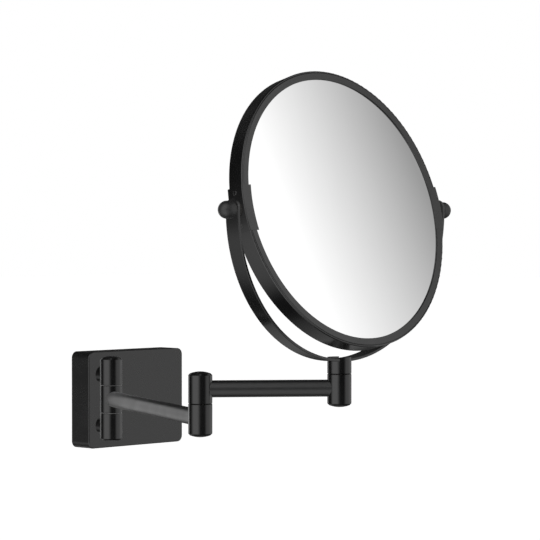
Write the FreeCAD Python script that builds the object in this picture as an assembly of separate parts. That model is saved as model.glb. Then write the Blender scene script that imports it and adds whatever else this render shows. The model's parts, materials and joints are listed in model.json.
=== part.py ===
import FreeCAD, Part
import math
import os

# Extendable shaving mirror for a bathroom wall, in millimetres.
# Origin: centre of the wall box's back face. +X is to the right along the wall, +Z is up, and -Y is the room.
# The model stands in one everyday pose: arms part way out, mirror facing the room and tilted back a little.

# ---- Wall box and the plate that it hooks onto
BOX_W, BOX_H, BOX_D = 99.6, 75.0, 20.2
BOX_CORNER = 5.0
BOX_EDGE = 0.8                      # rounding around the front face
BOX_WALL = 2.0
PLATE_W, PLATE_T = 84.0, 2.5
PLATE_CORNER = 3.0
PLATE_GAP = 0.3                     # above and below the plate, inside the box
TAB_W, TAB_D = 40.0, 12.0
WALL_HOLE_R = 2.6
WALL_HOLE_SPACING = 60.0
GRUB_R, GRUB_L = 2.0, 8.0
GRUB_Y = -9.0
GRUB_SUNK = 0.2                     # below the box's underside
GRUB_HOLE_GAP = 0.1
GRUB_EDGE, GRUB_POINT = 0.3, 0.8    # chamfers at its two ends
GRUB_SOCKET_R, GRUB_SOCKET_DEEP = 1.15, 2.0

# ---- Post on the box
POST_X = -36.0
POST_GAP = 1.7                      # between the knuckles and the box's face
KNUCKLE_R = 8.5
POST_TOP, POST_BOTTOM = 34.6, -31.8
HUB_TOP, HUB_BOTTOM = 12.0, -9.4    # middles of the two seams
SEAM = 0.2
SEAM_EDGE = 0.35                    # chamfer on each side of a seam
END_EDGE = 2.6                      # chamfer at a free end, from the top of its crown
CROWN_R = 20.0                      # sphere that a free end is crowned to
BOSS_R, BOSS_Z = 7.0, 19.8
PIN_R = 4.0
PIN_EDGE = 0.5
PIN_END_WALL = 6.0                  # solid metal beyond each end of the pin
SCREW_TIP_GAP = 0.5                 # between a knuckle screw and the pin

# ---- Arms
INNER_L, OUTER_L = 205.0, 98.1      # pivot to pivot
INNER_DEG, OUTER_DEG = -24.2, 50.0  # directions from straight out of the wall, towards +X
INNER_Z, OUTER_Z = 1.4, 21.85       # heights of the tubes' centre lines
TUBE_R, TUBE_WALL = 6.0, 1.2
SPIGOT_ROOT, SPIGOT_L = 2.0, 9.0    # the spigot starts this deep inside its knuckle
SPIGOT_GAP = 0.05
KNUCKLE_UP, KNUCKLE_DOWN = 10.0, 13.4   # lower half of a joint, measured from its tube's centre line
ELBOW_TOP = 34.15

# ---- Joint hardware
BOLT_R = 3.0
HEAD_R, HEAD_T = 5.0, 3.6
HEAD_EDGE, PAN_ROUNDING = 0.6, 1.6
SOCKET_R, SOCKET_DEEP = 2.9, 2.2
CROSS_LONG, CROSS_HALF, CROSS_DEEP = 2.6, 0.5, 1.6
WASHER_R, WASHER_T = 6.0, 1.0
SPRING_R, SPRING_T = 5.2, 0.8
NUT_HEX_R = 5.7
NUT_THREAD_OUT = 0.6                # bolt showing below its nut
THREAD_L = 14.0
RUNNING_GAP = 0.05
BUSH_WALL = 1.45
FLANGE_R, FLANGE_T = 6.5, 1.0
FLANGE_PROUD = 0.15
HUB_SLEEVE, UPPER_SLEEVE, LOWER_SLEEVE = 7.0, 6.5, 5.0
POCKET_R, POCKET_FLOOR = 6.2, 4.5   # pocket under a joint, and its floor below the tube's centre line
POCKET_GAP = 0.2                    # around the lower bush's flange
CAP_T = 2.0

# ---- Yoke
PIVOT_Z = 147.0
YOKE_R, YOKE_T, YOKE_W = 106.35, 2.0, 12.0
YOKE_EDGE = 0.3
YOKE_RISE = 7.5                     # rounded ends stand this far above the pivots
STEM_OVERLAP = 3.1                  # the stem's two cheeks rise this far past the band's lowest point
SINK_STEP = 0.1                     # straight part above and below the countersink
SINK_R = 4.8
SINK_SOCKET_R = 1.8

# ---- Mirror
TILT_DEG = 14.7
RIM_R, RIM_W, RIM_WALL = 100.0, 13.2, 1.3
RIM_EDGE, RIM_INNER_EDGE = 0.8, 0.45
BEZEL_IN_R, BEZEL_T = 93.8, 0.9
BEZEL_SKIRT, BEZEL_SKIRT_T = 1.5, 1.0
BEZEL_EDGES = (0.25, 0.2, 0.6, 0.15)    # inner lower, skirt, outer and inner upper roundings
GLASS_R, GLASS_T = 95.5, 3.0
LENS_T, LENS_SPHERE = 2.0, 850.0
LENS_DEPTH = 8.0                    # more than the dish is deep
CORE_IN_R, CORE_GAP = 91.0, 0.7
CORE_EDGE = 0.5

# ---- Clips, knobs and the tilt joint
CLIP_T, CLIP_FACE_T = 1.0, 0.6
CLIP_IN_R, CLIP_HALF = 92.3, 15.8
CLIP_REACH = 10.0                   # how far inside the lip its cutting shapes start
CLIP_EDGE, CLIP_OUTER_EDGE = 0.15, 0.6    # chamfer on the lips' ends, rounding outside
RIVET_R, RIVET_HEAD_R, RIVET_HEAD_T, RIVET_Z = 1.2, 1.7, 0.5, 11.5
RIVET_ROUNDING = 0.45
TILT_SCREW_R = 2.5
NUT_IN_R, NUT_HALF_Z, NUT_HALF_Y = 95.7, 7.0, 3.6
SPACER_R = 5.0
SPACER_GAP = 0.3                    # between the spacer and the yoke
KNOB_R, KNOB_NECK = 6.1, 3.8
KNOB_EDGE = 0.5
KNOB_TIP_GAP = 0.2                  # between the knob's screw tip and the inside of its nut plate
KNOB_WASHER_R, KNOB_WASHER_T = 5.5, 0.8

PAST = 1.0                          # how far a cutting shape runs past the surface that it cuts
SIDES = (("left", -1), ("right", 1))

V = FreeCAD.Vector
UP = V(0, 0, 1)
FRONT = V(0, -1, 0)
BACK = V(0, 1, 0)
ORIGIN = V(0, 0, 0)


# ---------------------------------------------------------------- helpers
def outline(corners):
    """A closed wire through (a, b, radius) corners, each corner rounded by its radius, in the XZ plane."""
    points = [V(a, 0, b) for a, b, _ in corners]
    starts, ends, edges = [], [], []
    for i, (_, _, radius) in enumerate(corners):
        here, before, after = points[i], points[i - 1], points[(i + 1) % len(points)]
        to_before = (before - here).normalize()
        to_after = (after - here).normalize()
        if radius:
            half = to_before.getAngle(to_after) / 2
            back = radius / math.tan(half)
            middle = here + (to_before + to_after).normalize() * (radius / math.sin(half) - radius)
            starts.append(here + to_before * back)
            ends.append(here + to_after * back)
            edges.append(Part.Arc(starts[-1], middle, ends[-1]).toShape())
        else:
            starts.append(here)
            ends.append(here)
            edges.append(None)
    path = []
    for i, arc in enumerate(edges):
        if arc:
            path.append(arc)
        following = starts[(i + 1) % len(starts)]
        if (following - ends[i]).Length > 1e-6:
            path.append(Part.makeLine(ends[i], following))
    return Part.Wire(path)


def turned(corners, centre=ORIGIN, axis=UP):
    """A solid of revolution from (radius, height, rounding) corners, about axis through centre."""
    solid = Part.Face(outline(corners)).revolve(ORIGIN, UP, 360)
    solid.Placement = FreeCAD.Placement(centre, FreeCAD.Rotation(UP, axis))
    return solid


def rod(radius, start, end):
    way = end - start
    return Part.makeCylinder(radius, way.Length, start, way)


def upright(radius, low, high, place):
    """An upright rod at place's x and y."""
    return rod(radius, V(place.x, place.y, low), V(place.x, place.y, high))


def box_between(low, high):
    return Part.makeBox(high.x - low.x, high.y - low.y, high.z - low.z, low)


def rounded_block(width, height, corner, y_front, y_back):
    """A block on the wall with rounded corners, seen from the room."""
    a, b = width / 2, height / 2
    face = Part.Face(outline([(-a, -b, corner), (a, -b, corner), (a, b, corner), (-a, b, corner)]))
    face.translate(V(0, y_back, 0))
    return face.extrude(V(0, y_front - y_back, 0))


def hexagon(radius, low, high, place):
    """An upright hexagonal bar, radius across its corners, at place's x and y."""
    corners = []
    for i in range(6):
        turn = math.radians(60 * i)
        corners.append(V(place.x + radius * math.cos(turn), place.y + radius * math.sin(turn), low))
    return Part.Face(Part.makePolygon(corners + corners[:1])).extrude(V(0, 0, high - low))


def cross_slot(mouth, axis):
    """A cross recess for a screw head, cut down along -axis from its mouth."""
    bars = []
    for half_x, half_y in ((CROSS_LONG, CROSS_HALF), (CROSS_HALF, CROSS_LONG)):
        bars.append(box_between(V(-half_x, -half_y, -CROSS_DEEP), V(half_x, half_y, PAST)))
    cross = bars[0].fuse(bars[1])
    cross.Placement = FreeCAD.Placement(mouth, FreeCAD.Rotation(UP, axis))
    return cross


def knuckle(place, low, high, low_edge, high_edge):
    """An upright round knuckle with a chamfer at each end."""
    profile = [(0, low, 0), (KNUCKLE_R - low_edge, low, 0), (KNUCKLE_R, low + low_edge, 0),
               (KNUCKLE_R, high - high_edge, 0), (KNUCKLE_R - high_edge, high, 0), (0, high, 0)]
    return turned(profile, V(place.x, place.y, 0))


def crowned(body, place, end, way):
    """The body with its free end, which faces up or down by way, shaped to the crown's sphere."""
    return body.common(Part.makeSphere(CROWN_R, V(place.x, place.y, end - way * CROWN_R)))


def heading(degrees):
    """Unit vector along the floor, degrees from straight out of the wall towards +X."""
    turn = math.radians(degrees)
    return V(math.sin(turn), -math.cos(turn), 0)


def save(name, shape):
    shape.exportStep(os.path.join("parts", name + ".step"))


# ---------------------------------------------------------------- places
post = V(POST_X, -(BOX_D + POST_GAP + KNUCKLE_R), 0)
elbow = post + heading(INNER_DEG) * INNER_L
end = elbow + heading(OUTER_DEG) * OUTER_L
pivot = V(end.x, end.y, PIVOT_Z)
elbow_seam = INNER_Z + KNUCKLE_UP + SEAM / 2
end_seam = OUTER_Z + KNUCKLE_UP + SEAM / 2
screw_tip_y = post.y + PIN_R + SCREW_TIP_GAP


# ---------------------------------------------------------------- wall bracket
def make_wall_plate():
    """The flat plate screwed to the wall, with a tab above and below that the box slides over."""
    half = BOX_H / 2 - BOX_WALL - PLATE_GAP
    plate = rounded_block(PLATE_W, 2 * half, PLATE_CORNER, -PLATE_T, 0)
    for side in (-1, 1):
        low, high = sorted((side * half, side * (half - PLATE_T)))
        plate = plate.fuse(box_between(V(-TAB_W / 2, -PLATE_T - TAB_D, low), V(TAB_W / 2, -PLATE_T, high)))
    plate = plate.removeSplitter()
    for side in (-1, 1):
        x = side * WALL_HOLE_SPACING / 2
        plate = plate.cut(rod(WALL_HOLE_R, V(x, PAST, 0), V(x, -PLATE_T - PAST, 0)))
    return plate.cut(upright(GRUB_R, -half - PAST, -half + PLATE_T + PAST, V(0, GRUB_Y, 0)))


def make_cover():
    """The hollow box, open at the wall."""
    shell = rounded_block(BOX_W, BOX_H, BOX_CORNER, -BOX_D, 0)
    front = [e for e in shell.Edges if all(abs(v.Point.y + BOX_D) < 1e-6 for v in e.Vertexes)]
    shell = shell.makeFillet(BOX_EDGE, front)
    shell = shell.cut(rounded_block(BOX_W - 2 * BOX_WALL, BOX_H - 2 * BOX_WALL, BOX_CORNER - BOX_WALL,
                                    -BOX_D + BOX_WALL, PAST))
    for z in (BOSS_Z, -BOSS_Z):
        shell = shell.cut(rod(BOLT_R, V(POST_X, 0, z), V(POST_X, -BOX_D - PAST, z)))
    bottom = -BOX_H / 2
    hole_r = GRUB_R + GRUB_HOLE_GAP
    return shell.cut(upright(hole_r, bottom - PAST, bottom + BOX_WALL + PAST, V(0, GRUB_Y, 0)))


def make_grub_screw():
    low = -BOX_H / 2 + GRUB_SUNK
    profile = [(0, 0, 0), (GRUB_R - GRUB_EDGE, 0, 0), (GRUB_R, GRUB_EDGE, 0),
               (GRUB_R, GRUB_L - GRUB_POINT, 0), (GRUB_R - GRUB_POINT, GRUB_L, 0), (0, GRUB_L, 0)]
    place = V(0, GRUB_Y, low)
    return turned(profile, place).cut(hexagon(GRUB_SOCKET_R, low - PAST, low + GRUB_SOCKET_DEEP, place))


def make_post_knuckle(low, high, top):
    """One fixed knuckle with its boss on the box: top is True for the upper one."""
    edges = (SEAM_EDGE, END_EDGE) if top else (END_EDGE, SEAM_EDGE)
    z = BOSS_Z if top else -BOSS_Z
    body = knuckle(post, low, high, *edges)
    body = crowned(body, post, high if top else low, 1 if top else -1)
    body = body.fuse(rod(BOSS_R, V(POST_X, -BOX_D, z), V(POST_X, post.y, z)))
    bore = (low - PAST, high - PIN_END_WALL) if top else (low + PIN_END_WALL, high + PAST)
    body = body.cut(upright(PIN_R, *bore, post))
    return body.cut(rod(BOLT_R, V(POST_X, 0, z), V(POST_X, screw_tip_y, z)))


def make_post_pin():
    low, high = POST_BOTTOM + PIN_END_WALL, POST_TOP - PIN_END_WALL
    return turned([(0, low, 0), (PIN_R - PIN_EDGE, low, 0), (PIN_R, low + PIN_EDGE, 0),
                   (PIN_R, high - PIN_EDGE, 0), (PIN_R - PIN_EDGE, high, 0), (0, high, 0)], post)


def make_knuckle_screws():
    """The two screws inside the cover that hold the post knuckles, and their washers."""
    inside = -BOX_D + BOX_WALL
    seat = inside + WASHER_T
    profile = [(0, 0, 0), (HEAD_R, 0, 0), (HEAD_R, HEAD_T, PAN_ROUNDING), (0, HEAD_T, 0)]
    screws, washers = [], []
    for z in (BOSS_Z, -BOSS_Z):
        head = turned(profile, V(POST_X, seat, z), BACK)
        shank = rod(BOLT_R, V(POST_X, seat, z), V(POST_X, screw_tip_y, z))
        screws.append(head.fuse(shank).cut(cross_slot(V(POST_X, seat + HEAD_T, z), BACK)))
        washer = rod(WASHER_R, V(POST_X, inside, z), V(POST_X, seat, z))
        washers.append(washer.cut(rod(BOLT_R, V(POST_X, inside - PAST, z), V(POST_X, seat + PAST, z))))
    return Part.makeCompound(screws), Part.makeCompound(washers)


def make_wall_bracket():
    save("wall_plate", make_wall_plate())
    save("box_cover", make_cover())
    save("cover_grub_screw", make_grub_screw())
    save("post_upper_knuckle", make_post_knuckle(HUB_TOP + SEAM / 2, POST_TOP, True))
    save("post_lower_knuckle", make_post_knuckle(POST_BOTTOM, HUB_BOTTOM - SEAM / 2, False))
    save("post_pin", make_post_pin())
    screws, washers = make_knuckle_screws()
    save("knuckle_screws", screws)
    save("knuckle_screw_washers", washers)


# ---------------------------------------------------------------- arms
def make_tube(start, finish, z):
    """A round tube between two upright knuckles, its ends shaped to their sides."""
    a, b = V(start.x, start.y, z), V(finish.x, finish.y, z)
    tube = rod(TUBE_R, a, b).cut(rod(TUBE_R - TUBE_WALL, a, b))
    for axis in (start, finish):
        tube = tube.cut(upright(KNUCKLE_R, z - 2 * TUBE_R, z + 2 * TUBE_R, axis))
    return tube


def spigot(axis, towards, z):
    """The stub inside the tube's end, which joins the tube to a knuckle."""
    way = (towards - axis).normalize()
    start = V(axis.x, axis.y, z) + way * (KNUCKLE_R - SPIGOT_ROOT)
    return rod(TUBE_R - TUBE_WALL - SPIGOT_GAP, start, start + way * SPIGOT_L)


def bush(place, seat, flange_low, flange_high, sleeve_end, shaft_r, flange_r):
    """A plastic bush: a sleeve from its flange at seat to sleeve_end, with running room on the shaft."""
    low, high = sorted((seat, sleeve_end))
    body = upright(shaft_r + BUSH_WALL, low, high, place)
    body = body.fuse(upright(flange_r, flange_low, flange_high, place))
    return body.cut(upright(shaft_r + RUNNING_GAP, low - 2 * PAST, high + 2 * PAST, place))


def make_hub():
    """The turning knuckle on the post, and its upper and lower bush."""
    low, high = HUB_BOTTOM + SEAM / 2, HUB_TOP - SEAM / 2
    seat_low, seat_high = low + FLANGE_T - FLANGE_PROUD, high - FLANGE_T + FLANGE_PROUD
    hub = knuckle(post, low, high, SEAM_EDGE, SEAM_EDGE).fuse(spigot(post, elbow, INNER_Z))
    hub = hub.cut(upright(PIN_R + BUSH_WALL, low - PAST, high + PAST, post))
    hub = hub.cut(upright(FLANGE_R, low - PAST, seat_low, post))
    hub = hub.cut(upright(FLANGE_R, seat_high, high + PAST, post))
    lower = bush(post, seat_low, low - FLANGE_PROUD, seat_low, seat_low + HUB_SLEEVE, PIN_R, FLANGE_R)
    upper = bush(post, seat_high, seat_high, high + FLANGE_PROUD, seat_high - HUB_SLEEVE, PIN_R, FLANGE_R)
    return hub, upper, lower


def make_lower_joint(axis, tube_from, z):
    """The lower half of a joint: knuckle, two bushes and the plug that closes its underside."""
    low, high = z - KNUCKLE_DOWN, z + KNUCKLE_UP
    floor = z - POCKET_FLOOR
    seat = high - FLANGE_T + FLANGE_PROUD
    body = crowned(knuckle(axis, low, high, END_EDGE, SEAM_EDGE), axis, low, -1)
    body = body.fuse(spigot(axis, tube_from, z))
    body = body.cut(upright(BOLT_R + BUSH_WALL, low - PAST, high + PAST, axis))
    body = body.cut(upright(FLANGE_R, seat, high + PAST, axis))
    body = body.cut(upright(POCKET_R, low - PAST, floor, axis))
    upper = bush(axis, seat, seat, high + FLANGE_PROUD, seat - UPPER_SLEEVE, BOLT_R, FLANGE_R)
    lower = bush(axis, floor, floor - FLANGE_T, floor, floor + LOWER_SLEEVE, BOLT_R, POCKET_R - POCKET_GAP)
    cap = crowned(upright(POCKET_R, low, low + CAP_T, axis), axis, low, -1)
    return body, upper, lower, cap


def head_top(z):
    """Top of the bolt head or nut under a joint whose tube is at height z."""
    return z - POCKET_FLOOR - FLANGE_T - RUNNING_GAP - SPRING_T


def spring_washer(axis, z):
    low = head_top(z)
    washer = upright(SPRING_R, low, low + SPRING_T, axis)
    return washer.cut(upright(BOLT_R, low - PAST, low + SPRING_T + PAST, axis))


def make_inner_arm():
    hub, upper, lower = make_hub()
    save("arm_hub", hub)
    save("hub_upper_bush", upper)
    save("hub_lower_bush", lower)
    save("inner_tube", make_tube(post, elbow, INNER_Z))
    body, upper, lower, cap = make_lower_joint(elbow, post, INNER_Z)
    save("elbow_lower_knuckle", body)
    save("elbow_upper_bush", upper)
    save("elbow_lower_bush", lower)
    save("elbow_cap", cap)


def make_elbow_bolt(thread_end):
    top = head_top(INNER_Z)
    bottom = top - HEAD_T
    head = turned([(0, bottom, 0), (HEAD_R, bottom, HEAD_EDGE), (HEAD_R, top, 0), (0, top, 0)],
                  V(elbow.x, elbow.y, 0))
    bolt = upright(BOLT_R, top, thread_end, elbow).fuse(head)
    return bolt.cut(hexagon(SOCKET_R, bottom - PAST, bottom + SOCKET_DEEP, elbow))


def make_outer_arm():
    low = elbow_seam + SEAM / 2
    body = crowned(knuckle(elbow, low, ELBOW_TOP, SEAM_EDGE, END_EDGE), elbow, ELBOW_TOP, 1)
    body = body.fuse(spigot(elbow, end, OUTER_Z))
    save("elbow_upper_knuckle", body.cut(upright(BOLT_R, low - PAST, low + THREAD_L, elbow)))
    save("elbow_bolt", make_elbow_bolt(low + THREAD_L - PAST))
    save("elbow_spring_washer", spring_washer(elbow, INNER_Z))
    save("outer_tube", make_tube(elbow, end, OUTER_Z))
    body, upper, lower, cap = make_lower_joint(end, elbow, OUTER_Z)
    save("end_knuckle", body)
    save("end_upper_bush", upper)
    save("end_lower_bush", lower)
    save("end_cap", cap)


# ---------------------------------------------------------------- yoke
def make_yoke_band():
    """A half ring of flat strip below the pivots, with a short upright rounded end at each side."""
    half = YOKE_W / 2
    profile = [(YOKE_R - YOKE_T, -half, YOKE_EDGE), (YOKE_R, -half, YOKE_EDGE), (YOKE_R, half, YOKE_EDGE),
               (YOKE_R - YOKE_T, half, YOKE_EDGE)]
    band = turned(profile, pivot, BACK)
    size = 2 * YOKE_R
    band = band.cut(box_between(pivot + V(-size, -size, 0), pivot + V(size, size, size)))
    for _, side in SIDES:
        inner, outer = sorted((side * (YOKE_R - YOKE_T), side * YOKE_R))
        centre_z = YOKE_RISE - half
        ear = box_between(pivot + V(inner, -half, 0), pivot + V(outer, half, centre_z))
        round_top = rod(half, pivot + V(inner, 0, centre_z), pivot + V(outer, 0, centre_z))
        above = box_between(pivot + V(inner - PAST, -half, 0),
                            pivot + V(outer + PAST, half, YOKE_RISE + PAST))
        band = band.fuse(ear.fuse(round_top.common(above)))
    band = band.removeSplitter()
    reach = V(YOKE_R + PAST, 0, 0)
    return band.cut(rod(TILT_SCREW_R + RUNNING_GAP, pivot - reach, pivot + reach))


def make_yoke():
    bottom = PIVOT_Z - YOKE_R
    sink_low, sink_high = bottom + SINK_STEP, bottom + YOKE_T - SINK_STEP
    over = bottom + YOKE_T + PAST
    sink = turned([(0, bottom - STEM_OVERLAP, 0), (BOLT_R, bottom - STEM_OVERLAP, 0), (BOLT_R, sink_low, 0),
                   (SINK_R, sink_high, 0), (SINK_R, over, 0), (0, over, 0)], end)
    save("yoke_band", make_yoke_band().cut(sink))

    low, high = end_seam + SEAM / 2, bottom + STEM_OVERLAP
    stem = turned([(BOLT_R, low, 0), (KNUCKLE_R - SEAM_EDGE, low, 0), (KNUCKLE_R, low + SEAM_EDGE, 0),
                   (KNUCKLE_R, high, 0), (BOLT_R, high, 0)], end)
    half_band = V(0, YOKE_W / 2, 0)
    save("yoke_stem", stem.cut(rod(YOKE_R, pivot - half_band, pivot + half_band)))

    top = head_top(OUTER_Z)
    foot = top - HEAD_T - NUT_THREAD_OUT
    head = turned([(0, sink_low, 0), (BOLT_R, sink_low, 0), (SINK_R, sink_high, 0), (0, sink_high, 0)], end)
    bolt = upright(BOLT_R, foot, sink_low, end).fuse(head)
    save("swivel_bolt", bolt.cut(hexagon(SINK_SOCKET_R, sink_low + SINK_STEP, over, end)))
    nut = hexagon(NUT_HEX_R, top - HEAD_T, top, end)
    save("swivel_nut", nut.cut(upright(BOLT_R, foot - PAST, top + PAST, end)))
    save("swivel_spring_washer", spring_washer(end, OUTER_Z))
    for name, side in SIDES:
        face = pivot + V(side * YOKE_R, 0, 0)
        away = V(side * KNOB_WASHER_T, 0, 0)
        washer = rod(KNOB_WASHER_R, face, face + away)
        save(name + "_knob_washer", washer.cut(rod(TILT_SCREW_R + RUNNING_GAP, face - away, face + away * 2)))


# ---------------------------------------------------------------- mirror
# The mirror's pieces are made facing -Y about the origin, then tilted and set on the pivots by hang().
half_rim = RIM_W / 2
bezel_back = half_rim - BEZEL_T
glass_back = bezel_back - GLASS_T


def hang(shape):
    placed = shape.copy()
    placed.rotate(ORIGIN, V(1, 0, 0), -TILT_DEG)
    placed.translate(pivot)
    return placed


def rivet_directions(side):
    """Outward directions of one clip's two rivets, from the mirror's centre."""
    angles = [math.asin(z / RIM_R) for z in (RIVET_Z, -RIVET_Z)]
    return [V(side * math.cos(angle), 0, math.sin(angle)) for angle in angles]


def cut_rivet_holes(shape):
    reach = RIM_WALL + CLIP_T + PAST
    for _, side in SIDES:
        for way in rivet_directions(side):
            shape = shape.cut(rod(RIVET_R, way * (RIM_R - reach), way * (RIM_R + reach)))
    return shape


def make_rim():
    inner_r = RIM_R - RIM_WALL
    rim = turned([(inner_r, -half_rim, RIM_INNER_EDGE), (RIM_R, -half_rim, RIM_EDGE),
                  (RIM_R, half_rim, RIM_EDGE), (inner_r, half_rim, RIM_INNER_EDGE)], ORIGIN, FRONT)
    reach = V(RIM_R + PAST, 0, 0)
    return cut_rivet_holes(rim.cut(rod(TILT_SCREW_R, ORIGIN - reach, reach)))


def make_bezel(facing):
    """A flat ring over the edge of the glass, with a short skirt inside the rim."""
    outer_r = RIM_R - RIM_WALL
    skirt_r = outer_r - BEZEL_SKIRT_T
    skirt_low = bezel_back - BEZEL_SKIRT
    inner_edge, skirt_edge, outer_edge, lip_edge = BEZEL_EDGES
    return turned([(BEZEL_IN_R, bezel_back, inner_edge), (skirt_r, bezel_back, 0),
                   (skirt_r, skirt_low, skirt_edge), (outer_r, skirt_low, skirt_edge),
                   (outer_r, half_rim, outer_edge), (BEZEL_IN_R, half_rim, lip_edge)], ORIGIN, facing)


def make_front_glass():
    return rod(GLASS_R, FRONT * glass_back, FRONT * bezel_back)


def make_magnifying_glass():
    """A shallow concave dish of even thickness, facing the back."""
    rise = math.sqrt(LENS_SPHERE ** 2 - GLASS_R ** 2)
    centre = V(0, bezel_back + rise, 0)
    disc = rod(GLASS_R, V(0, bezel_back - LENS_T - LENS_DEPTH, 0), V(0, bezel_back, 0))
    outer = Part.makeSphere(LENS_SPHERE + LENS_T, centre)
    inner = Part.makeSphere(LENS_SPHERE, centre)
    return disc.common(outer).cut(inner)


def make_core_ring():
    """The plastic ring that keeps the two glasses apart."""
    low = -(bezel_back - LENS_T) + CORE_GAP
    return turned([(CORE_IN_R, low, CORE_EDGE), (GLASS_R, low, 0), (GLASS_R, glass_back, 0),
                   (CORE_IN_R, glass_back, CORE_EDGE)], ORIGIN, FRONT)


def make_clip(side):
    """A channel over the rim's edge. Its lips lie on the bezels and stand a little way over the glass."""
    outer, front = RIM_R + CLIP_T, half_rim + CLIP_FACE_T
    lip_r, lip_front = CLIP_IN_R + CLIP_EDGE, front - CLIP_EDGE
    channel = [(lip_r, -front, 0), (outer, -front, CLIP_OUTER_EDGE), (outer, front, CLIP_OUTER_EDGE),
               (lip_r, front, 0), (CLIP_IN_R, lip_front, 0), (CLIP_IN_R, half_rim, 0), (RIM_R, half_rim, 0),
               (RIM_R, -half_rim, 0), (CLIP_IN_R, -half_rim, 0), (CLIP_IN_R, -lip_front, 0)]
    near, far = sorted((side * (CLIP_IN_R - CLIP_REACH), side * (outer + PAST)))
    slab = box_between(V(near, -front - PAST, -CLIP_HALF), V(far, front + PAST, CLIP_HALF))
    clip = turned(channel, ORIGIN, FRONT).common(slab)
    return cut_rivet_holes(clip.cut(rod(TILT_SCREW_R, V(near, 0, 0), V(far, 0, 0))))


def make_rivets():
    top = CLIP_T + RIVET_HEAD_T
    profile = [(0, -RIM_WALL, 0), (RIVET_R, -RIM_WALL, 0), (RIVET_R, CLIP_T, 0), (RIVET_HEAD_R, CLIP_T, 0),
               (RIVET_HEAD_R, top, RIVET_ROUNDING), (0, top, 0)]
    rivets = []
    for _, side in SIDES:
        for way in rivet_directions(side):
            rivets.append(hang(turned(profile, way * RIM_R, way)))
    return Part.makeCompound(rivets)


def make_nut_plate(side):
    """The threaded plate inside the rim that one knob screws into."""
    near, far = sorted((side * NUT_IN_R, side * RIM_R))
    plate = box_between(V(near, -NUT_HALF_Y, -NUT_HALF_Z), V(far, NUT_HALF_Y, NUT_HALF_Z))
    plate = plate.common(rod(RIM_R - RIM_WALL, FRONT * half_rim, BACK * half_rim))
    return plate.cut(rod(TILT_SCREW_R, V(near, 0, 0), V(far, 0, 0)))


def make_spacer(side):
    """The short collar between one clip and the yoke."""
    start = V(side * (RIM_R - CLIP_T), 0, 0)
    finish = V(side * (YOKE_R - YOKE_T - SPACER_GAP), 0, 0)
    spacer = rod(SPACER_R, start, finish).cut(rod(TILT_SCREW_R, start, finish))
    return spacer.cut(rod(RIM_R + CLIP_T, FRONT * RIM_W, BACK * RIM_W))


def make_knob(side):
    """A domed knob with the screw that the mirror tilts on."""
    base = YOKE_R + KNOB_WASHER_T + RUNNING_GAP
    tip = base + KNOB_NECK + KNOB_R
    root = NUT_IN_R + KNOB_TIP_GAP
    return turned([(0, root, 0), (TILT_SCREW_R, root, 0), (TILT_SCREW_R, base, 0), (KNOB_R, base, KNOB_EDGE),
                   (KNOB_R, tip, KNOB_R), (0, tip, 0)], ORIGIN, V(side, 0, 0))


def make_mirror():
    save("rim_band", hang(make_rim()))
    save("front_bezel", hang(make_bezel(FRONT)))
    save("rear_bezel", hang(make_bezel(BACK)))
    save("front_glass", hang(make_front_glass()))
    save("magnifying_glass", hang(make_magnifying_glass()))
    save("core_ring", hang(make_core_ring()))
    save("clip_rivets", make_rivets())
    for name, side in SIDES:
        save(name + "_clip", hang(make_clip(side)))
        save(name + "_nut_plate", hang(make_nut_plate(side)))
        save(name + "_spacer", hang(make_spacer(side)))
        save(name + "_knob", hang(make_knob(side)))


os.makedirs("parts", exist_ok=True)
make_wall_bracket()
make_inner_arm()
make_outer_arm()
make_yoke()
make_mirror()
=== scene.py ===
import json
import math

import bpy
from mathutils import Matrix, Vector


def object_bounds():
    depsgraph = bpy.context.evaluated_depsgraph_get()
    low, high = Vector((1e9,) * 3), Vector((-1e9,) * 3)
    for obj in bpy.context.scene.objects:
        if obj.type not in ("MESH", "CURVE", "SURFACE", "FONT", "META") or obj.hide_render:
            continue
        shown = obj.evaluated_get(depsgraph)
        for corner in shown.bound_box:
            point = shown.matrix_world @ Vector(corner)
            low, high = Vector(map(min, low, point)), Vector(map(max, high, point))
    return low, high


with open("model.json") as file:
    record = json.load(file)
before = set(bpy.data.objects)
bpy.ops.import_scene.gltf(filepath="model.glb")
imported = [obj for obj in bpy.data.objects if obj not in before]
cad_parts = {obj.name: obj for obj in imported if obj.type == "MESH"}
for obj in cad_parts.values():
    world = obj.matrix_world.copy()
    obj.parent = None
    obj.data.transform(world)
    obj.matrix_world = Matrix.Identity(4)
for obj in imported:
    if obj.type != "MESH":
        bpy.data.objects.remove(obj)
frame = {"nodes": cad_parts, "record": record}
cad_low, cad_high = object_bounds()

MM = 0.001                                   # everything is in metres, unless a comment says otherwise


def grey(level):
    return (level, level, level, 1)


# ---- Camera
CAMERA_YAW, CAMERA_PITCH = 45.479, 1.144     # degrees: turn from +Y towards +X, and tilt down
CAMERA_DISTANCE = 1.868                      # from the aim point
CAMERA_LENS, CAMERA_SENSOR = 168.87, 36.0    # mm
CAMERA_REACH = 50.0                          # what is farther away isn't drawn
AIM_RIGHT, AIM_UP = 0.0399, -0.0007          # aim point from the middle of the object, as the camera sees it


def camera_axes():
    yaw, pitch = math.radians(CAMERA_YAW), math.radians(CAMERA_PITCH)
    right = Vector((math.cos(yaw), -math.sin(yaw), 0))
    ahead = Vector((math.sin(yaw) * math.cos(pitch), math.cos(yaw) * math.cos(pitch), -math.sin(pitch)))
    return right, ahead, right.cross(ahead)


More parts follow.
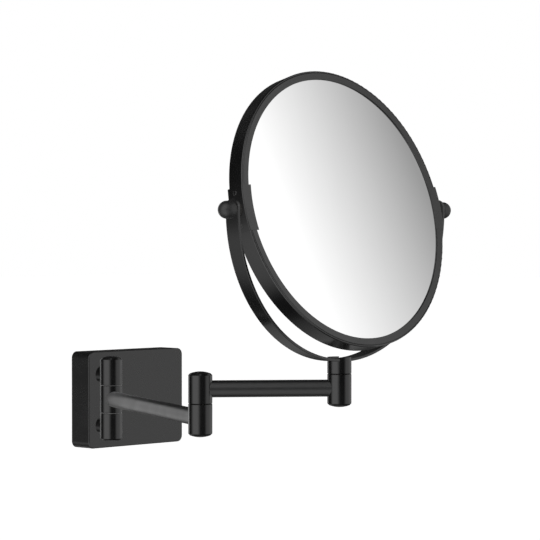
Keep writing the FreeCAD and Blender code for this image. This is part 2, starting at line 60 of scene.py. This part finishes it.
def make_camera():
    right, ahead, up = camera_axes()
    middle = (cad_low + cad_high) / 2
    data = bpy.data.cameras.new("camera")
    camera = bpy.data.objects.new("camera", data)
    bpy.context.scene.collection.objects.link(camera)
    aim = middle + right * AIM_RIGHT + up * AIM_UP
    camera.location = aim - ahead * CAMERA_DISTANCE
    camera.rotation_mode = "QUATERNION"
    camera.rotation_quaternion = ahead.to_track_quat("-Z", "Y")
    data.lens = CAMERA_LENS
    data.sensor_width = CAMERA_SENSOR
    data.clip_end = CAMERA_REACH
    bpy.context.scene.camera = camera


# ---- Shader nodes
MIX_FIRST, MIX_SECOND, MIX_RESULT = 6, 7, 2  # sockets of the Mix node that carry colours


class Nodes:
    """Short calls that add nodes to one tree. add returns its node, link nothing, the others an output."""

    def __init__(self, tree):
        self.tree = tree
        tree.nodes.clear()

    def add(self, kind, **settings):
        node = self.tree.nodes.new(kind)
        for name, value in settings.items():
            setattr(node, name, value)
        return node

    def link(self, value, socket):
        """Join an output to the socket, or set the socket to a constant."""
        if hasattr(value, "node"):
            self.tree.links.new(value, socket)
        else:
            socket.default_value = value

    def math(self, operation, first, second=None):
        node = self.add("ShaderNodeMath", operation=operation)
        self.link(first, node.inputs[0])
        if second is not None:
            self.link(second, node.inputs[1])
        return node.outputs[0]

    def dot(self, first, second):
        node = self.add("ShaderNodeVectorMath", operation="DOT_PRODUCT")
        self.link(first, node.inputs[0])
        self.link(second, node.inputs[1])
        return node.outputs["Value"]

    def span(self, value, low, high, to_low=0.0, to_high=1.0, smooth=False):
        """The value carried from low..high to to_low..to_high, and held at the ends."""
        node = self.add("ShaderNodeMapRange", interpolation_type="SMOOTHSTEP" if smooth else "LINEAR")
        for item, socket in zip((value, low, high, to_low, to_high), node.inputs):
            self.link(item, socket)
        return node.outputs[0]

    def mix(self, factor, first, second):
        node = self.add("ShaderNodeMix", data_type="RGBA")
        self.link(factor, node.inputs["Factor"])
        self.link(first, node.inputs[MIX_FIRST])
        self.link(second, node.inputs[MIX_SECOND])
        return node.outputs[MIX_RESULT]

    def noise(self, vector, size, detail, roughness=0.5):
        """Noise whose features are about size metres across."""
        node = self.add("ShaderNodeTexNoise")
        self.link(vector, node.inputs["Vector"])
        node.inputs["Scale"].default_value = 1.0 / size
        node.inputs["Detail"].default_value = detail
        node.inputs["Roughness"].default_value = roughness
        return node.outputs["Fac"]

    def stretch(self, vector, turn, scale):
        """The coordinates scaled, then turned about Z, in degrees, for marks that run one way."""
        node = self.add("ShaderNodeMapping")
        self.link(vector, node.inputs["Vector"])
        node.inputs["Rotation"].default_value = (0, 0, math.radians(turn))
        node.inputs["Scale"].default_value = scale
        return node.outputs[0]

    def bump(self, height, distance, normal=None):
        node = self.add("ShaderNodeBump")
        self.link(height, node.inputs["Height"])
        node.inputs["Distance"].default_value = distance
        if normal is not None:
            self.link(normal, node.inputs["Normal"])
        return node.outputs[0]


# ---- Studio light: soft panels all round, as directions in degrees. Azimuth 0 points from the object to the
# camera's side, and azimuths grow towards the camera's right.
# azimuth, elevation, half width, half height, softness of the edges, brightness
PANELS = {
    "key": (-45, 0, 34, 70, 18, 1.05),
    "right_wall": (100, 5, 45, 38, 14, 0.65),
    "front_high": (5, 52, 40, 38, 9, 0.7),
    "front_low": (5, -52, 40, 38, 9, 0.7),
    "left_low": (-92, -30, 14, 20, 7, 0.4),
    "back_low": (-165, -45, 30, 18, 12, 0.3),
    "back_left": (-141, -2, 10, 28, 5, 1.3),
}
ROOM_LIGHT = 0.04                            # added all round
DIFFUSE_LIGHT = 0.2                          # what matt reflection gets instead, from all round

# The pale graded card that the glass shows: it stands where the glass reflects the camera's line of sight.
CARD_AT = (97.0, 19.5)                       # azimuth and elevation
CARD_HALF = (5.5, 6.5)                       # half width and half height
CARD_SOFT = 0.8                              # softness of its edges
CARD_FADE = 1.6                              # half width of its grade, from bright to grey
CARD_BRIGHT, CARD_GREY = 1.1, 0.35


def direction_from(nodes, azimuth, elevation):
    """The looked-up direction's azimuth and elevation, in degrees, from the given ones."""
    right, ahead, _ = camera_axes()
    toward = Vector((-ahead.x, -ahead.y, 0)).normalized()
    turn = math.radians(azimuth)
    centre = toward * math.cos(turn) + right * math.sin(turn)
    side = right * math.cos(turn) - toward * math.sin(turn)
    looked = nodes.add("ShaderNodeTexCoord").outputs["Generated"]
    across = nodes.math("ARCTAN2", nodes.dot(looked, side), nodes.dot(looked, centre))
    height = nodes.math("ARCSINE", nodes.dot(looked, Vector((0, 0, 1))))
    in_degrees = math.degrees(1)
    up = nodes.math("SUBTRACT", nodes.math("MULTIPLY", height, in_degrees), elevation)
    return nodes.math("MULTIPLY", across, in_degrees), up


def soft_window(nodes, azimuth, elevation, half_width, half_height, soft):
    """1 inside a panel and 0 outside it, fading over its soft edges."""
    across, up = direction_from(nodes, azimuth, elevation)
    inside = []
    for offset, half in ((across, half_width), (up, half_height)):
        distance = nodes.math("ABSOLUTE", offset)
        inside.append(nodes.span(distance, half - soft, half + soft, 1.0, 0.0, smooth=True))
    return nodes.math("MULTIPLY", *inside)


def make_world():
    """White to the camera, even to matt reflection, and the panels and the card to glossy reflection."""
    world = bpy.data.worlds.new("studio")
    bpy.context.scene.world = world
    world.use_nodes = True
    world.cycles.sampling_method = "NONE"
    nodes = Nodes(world.node_tree)
    light = ROOM_LIGHT
    for *window_values, brightness in PANELS.values():
        window = soft_window(nodes, *window_values)
        light = nodes.math("ADD", nodes.math("MULTIPLY", window, brightness), light)
    card = soft_window(nodes, *CARD_AT, *CARD_HALF, CARD_SOFT)
    across, _ = direction_from(nodes, *CARD_AT)
    grade = nodes.span(across, -CARD_FADE, CARD_FADE, CARD_BRIGHT, CARD_GREY)
    light = nodes.mix(card, light, grade)
    rays = nodes.add("ShaderNodeLightPath")
    light = nodes.mix(rays.outputs["Is Diffuse Ray"], light, grey(DIFFUSE_LIGHT))
    light = nodes.mix(rays.outputs["Is Camera Ray"], light, grey(1))
    background = nodes.add("ShaderNodeBackground", name="sky")
    nodes.link(light, background.inputs["Color"])
    output = nodes.add("ShaderNodeOutputWorld")
    nodes.link(background.outputs[0], output.inputs["Surface"])


# ---- Materials. Each one uses object coordinates, in metres, so the marks keep their size on every piece.
NOISE_LOW, NOISE_HIGH = 0.3, 0.7             # most of what a noise gives lies between these


def material(name):
    made = bpy.data.materials.new(name)
    made.use_nodes = True
    nodes = Nodes(made.node_tree)
    shader = nodes.add("ShaderNodeBsdfPrincipled")
    output = nodes.add("ShaderNodeOutputMaterial")
    nodes.link(shader.outputs[0], output.inputs["Surface"])
    place = nodes.add("ShaderNodeTexCoord").outputs["Object"]
    return made, nodes, shader, place


EDGE_RADIUS = 0.4 * MM
EDGE_SAMPLES = 4
EDGE_NONE, EDGE_FULL = 0.995, 0.9            # cosines of the bevel's turn: no edge, and fully an edge


def edge_mask(nodes):
    """1 on the edges of a piece and 0 on its flats, from how much a small bevel would turn the surface."""
    bevel = nodes.add("ShaderNodeBevel", samples=EDGE_SAMPLES)
    bevel.inputs["Radius"].default_value = EDGE_RADIUS
    normal = nodes.add("ShaderNodeNewGeometry").outputs["Normal"]
    return nodes.span(nodes.dot(bevel.outputs[0], normal), EDGE_NONE, EDGE_FULL, smooth=True)


PAINT_DARK, PAINT_LIGHT = (0.006, 0.006, 0.0062, 1), (0.010, 0.010, 0.0103, 1)
# Edges are painted lighter: partly thinned paint, partly a painted highlight standing in for the light on
# their rounding
PAINT_EDGE_THIN_AND_HIGHLIGHT = grey(0.02)
EDGE_WEAR_AND_HIGHLIGHT = 0.5                             # share of the edge colour on a full edge: thinned paint and a painted highlight
PAINT_IOR = 1.7                              # more than a plain paint's 1.5, for stronger highlights
PATCH_SIZE, SPECK_SIZE, MARK_SIZE = 14 * MM, 0.35 * MM, 0.5 * MM
PATCH_ROUGHNESS, PEEL_ROUGHNESS = 0.025, 0.015
EDGE_POLISH = 0.04                           # how much smoother an edge is rubbed
PEEL_HEIGHT, MARK_HEIGHT = 0.003 * MM, 0.0015 * MM


def paint(name, roughness, peel, marks=None):
    """Black powder coat: peel is the size of its grain, marks the turn and scale of faint lines under it."""
    made, nodes, shader, place = material(name)
    grain = nodes.noise(place, peel, detail=3.0)
    patches = nodes.noise(place, PATCH_SIZE, detail=3.0)
    speck = nodes.noise(place, SPECK_SIZE, detail=1.0)
    colour = nodes.mix(speck, PAINT_DARK, PAINT_LIGHT)
    edge = edge_mask(nodes)
    # painted highlight: the edges are mixed towards a lighter grey, together with thinned paint
    colour = nodes.mix(nodes.math("MULTIPLY", edge, EDGE_WEAR_AND_HIGHLIGHT), colour, PAINT_EDGE_THIN_AND_HIGHLIGHT)
    nodes.link(colour, shader.inputs["Base Color"])
    smoother, rougher = roughness - PATCH_ROUGHNESS, roughness + PATCH_ROUGHNESS
    soft = nodes.span(patches, NOISE_LOW, NOISE_HIGH, smoother, rougher)
    soft = nodes.math("ADD", soft, nodes.span(grain, NOISE_LOW, NOISE_HIGH, -PEEL_ROUGHNESS, PEEL_ROUGHNESS))
    soft = nodes.math("SUBTRACT", soft, nodes.math("MULTIPLY", edge, EDGE_POLISH))
    nodes.link(soft, shader.inputs["Roughness"])
    height = nodes.bump(grain, PEEL_HEIGHT)
    if marks:
        lines = nodes.noise(nodes.stretch(place, *marks), MARK_SIZE, detail=2.0)
        height = nodes.bump(lines, MARK_HEIGHT, height)
    nodes.link(height, shader.inputs["Normal"])
    shader.inputs["IOR"].default_value = PAINT_IOR
    return made


STEEL_WARM, STEEL_COOL = (1.06, 1.02, 0.93), (0.94, 0.98, 1.05)    # factors of red, green and blue
TINT_SIZE, LINE_SIZE, DULL_SIZE = 9 * MM, 0.3 * MM, 1.2 * MM
LINE_ROUGHNESS = 0.06
LINE_HEIGHT = 0.003 * MM
DULL_FROM, DULL_FULL = 0.55, 0.75            # the part of its noise that makes a dull spot
DULL_ROUGHNESS = 0.15


def tinted(colour, factors):
    return tuple(channel * factor for channel, factor in zip(colour, factors)) + (1,)


def steel(name, colour, roughness, marks):
    """Zinc-plated steel: a bluish and a yellowish passivated tint, fine lines and a few dull spots.

    marks is the turn and scale of the lines.
    """
    made, nodes, shader, place = material(name)
    tint = nodes.noise(place, TINT_SIZE, detail=2.0)
    tone = nodes.mix(tint, tinted(colour, STEEL_WARM), tinted(colour, STEEL_COOL))
    nodes.link(tone, shader.inputs["Base Color"])
    lines = nodes.noise(nodes.stretch(place, *marks), LINE_SIZE, detail=3.0, roughness=0.6)
    dull = nodes.noise(place, DULL_SIZE, detail=4.0, roughness=0.65)
    smoother, rougher = roughness - LINE_ROUGHNESS, roughness + LINE_ROUGHNESS
    from_lines = nodes.span(lines, NOISE_LOW, NOISE_HIGH, smoother, rougher)
    from_spots = nodes.span(dull, DULL_FROM, DULL_FULL, 0.0, DULL_ROUGHNESS)
    nodes.link(nodes.math("ADD", from_lines, from_spots), shader.inputs["Roughness"])
    nodes.link(nodes.bump(lines, LINE_HEIGHT), shader.inputs["Normal"])
    shader.inputs["Metallic"].default_value = 1.0
    return made


CLOUD_SIZE = 5 * MM
GRAIN_SMOOTHER, GRAIN_ROUGHER = 0.05, 0.08


def moulded(name, dark, light, roughness, grain, depth):
    """A moulded or pressed non-metal: a fine grain of that size and depth, and a cloudy change of tone."""
    made, nodes, shader, place = material(name)
    cloud = nodes.noise(place, CLOUD_SIZE, detail=3.0)
    nodes.link(nodes.mix(cloud, dark + (1,), light + (1,)), shader.inputs["Base Color"])
    fine = nodes.noise(place, grain, detail=3.0, roughness=0.6)
    smoother, rougher = roughness - GRAIN_SMOOTHER, roughness + GRAIN_ROUGHER
    nodes.link(nodes.span(fine, NOISE_LOW, NOISE_HIGH, smoother, rougher), shader.inputs["Roughness"])
    nodes.link(nodes.bump(fine, depth), shader.inputs["Normal"])
    return made


GLASS_DARK, GLASS_LIGHT = grey(0.915), grey(0.935)
WIPE_TURN, WIPE_SCALE, WIPE_SIZE = 20, (1.0, 1.0, 0.15), 12 * MM
WIPE_FROM, WIPE_FULL = 0.45, 0.8             # the part of its noise that leaves a mark
WIPE_ROUGHNESS = 0.02


def silvered(name):
    """Silvered glass: a neutral mirror with a trace of wiping marks."""
    made, nodes, shader, place = material(name)
    wipe = nodes.noise(nodes.stretch(place, WIPE_TURN, WIPE_SCALE), WIPE_SIZE, detail=4.0, roughness=0.6)
    nodes.link(nodes.mix(wipe, GLASS_DARK, GLASS_LIGHT), shader.inputs["Base Color"])
    nodes.link(nodes.span(wipe, WIPE_FROM, WIPE_FULL, 0.0, WIPE_ROUGHNESS), shader.inputs["Roughness"])
    shader.inputs["Metallic"].default_value = 1.0
    return made


# Marks are a turn about Z, in degrees, and a scale along each axis of the piece. They are long along an axis
# whose scale is small. The turn comes after the scale, so it picks another part of the noise without steering
# them.
KNUCKLE_MARKS = (0, (0.1, 0.1, 1.0))         # rings round Z
TUBE_MARKS = (0, (1.0, 1.0, 0.2))            # along Z
PLATE_MARKS = (90, (1.0, 0.05, 1.0))         # along Y, front to back, so the plate's face shows a fine grain
SCREW_MARKS = (0, (0.1, 1.0, 0.1))           # rings round Y


def make_materials():
    return {
        "cover_black": paint("cover_black", roughness=0.26, peel=0.9 * MM),
        "knuckle_black": paint("knuckle_black", roughness=0.18, peel=0.7 * MM, marks=KNUCKLE_MARKS),
        "tube_black": paint("tube_black", roughness=0.38, peel=0.6 * MM, marks=TUBE_MARKS),
        "band_black": paint("band_black", roughness=0.18, peel=0.8 * MM),
        "rim_black": paint("rim_black", roughness=0.18, peel=0.8 * MM),
        "knob_black": paint("knob_black", roughness=0.5, peel=0.6 * MM),
        "plate_steel": steel("plate_steel", colour=(0.6, 0.6, 0.61), roughness=0.36, marks=PLATE_MARKS),
        "screw_steel": steel("screw_steel", colour=(0.55, 0.55, 0.56), roughness=0.30, marks=SCREW_MARKS),
        "bush_plastic": moulded("bush_plastic", dark=(0.76, 0.74, 0.69), light=(0.82, 0.81, 0.77),
                                roughness=0.42, grain=0.3 * MM, depth=0.004 * MM),
        "cap_plastic": moulded("cap_plastic", dark=(0.022, 0.022, 0.022), light=(0.03, 0.03, 0.03),
                               roughness=0.45, grain=0.3 * MM, depth=0.01 * MM),
        "fibre": moulded("fibre", dark=(0.045, 0.043, 0.04), light=(0.075, 0.072, 0.068),
                         roughness=0.75, grain=0.2 * MM, depth=0.02 * MM),
        "core_plastic": moulded("core_plastic", dark=(0.04, 0.04, 0.04), light=(0.055, 0.055, 0.055),
                                roughness=0.5, grain=0.4 * MM, depth=0.01 * MM),
        "silvered_glass": silvered("silvered_glass"),
    }


# How the names start of the pieces that show in other pieces' reflections, which keeps the joints' seams
# dark. The rest don't, so that the box, the tubes, the rim and the glass show the panels.
REFLECTED = ("wall_plate", "elbow_", "end_", "swivel_", "yoke_stem", "front_bezel")


def dress(materials):
    """Give each piece the material that its record names."""
    for part in frame["record"]["subparts"]:
        piece = frame["nodes"][part["node"]]
        piece.data.materials.clear()
        piece.data.materials.append(materials[part["material_slot"]])
        piece.visible_glossy = part["node"].startswith(REFLECTED)


# ---- Floor: pale and square, and left out of every reflection
FLOOR_DROP = 0.2825                          # from the object's lowest point
FLOOR_HALF = 14.0
FLOOR_DARK, FLOOR_LIGHT = grey(0.88), grey(0.9)
FLOOR_CLOUD = 0.6                            # size of its faint clouds
FLOOR_ROUGHNESS = 0.8
FLOOR_GLOW = 0.85


def make_floor():
    mesh = bpy.data.meshes.new("floor")
    corners = ((-1, -1), (1, -1), (1, 1), (-1, 1))
    level = cad_low.z - FLOOR_DROP
    mesh.from_pydata([(x * FLOOR_HALF, y * FLOOR_HALF, level) for x, y in corners], [], [(0, 1, 2, 3)])
    floor = bpy.data.objects.new("floor", mesh)
    bpy.context.scene.collection.objects.link(floor)
    made, nodes, shader, place = material("floor_pale")
    cloud = nodes.noise(place, FLOOR_CLOUD, detail=2.0)
    nodes.link(nodes.mix(cloud, FLOOR_DARK, FLOOR_LIGHT), shader.inputs["Base Color"])
    shader.inputs["Roughness"].default_value = FLOOR_ROUGHNESS
    shader.inputs["Emission Color"].default_value = grey(1)
    shader.inputs["Emission Strength"].default_value = FLOOR_GLOW
    mesh.materials.append(made)
    floor.visible_glossy = False
    floor.visible_diffuse = False


make_camera()
make_world()
dress(make_materials())
make_floor()
bpy.context.scene.view_settings.view_transform = "Standard"
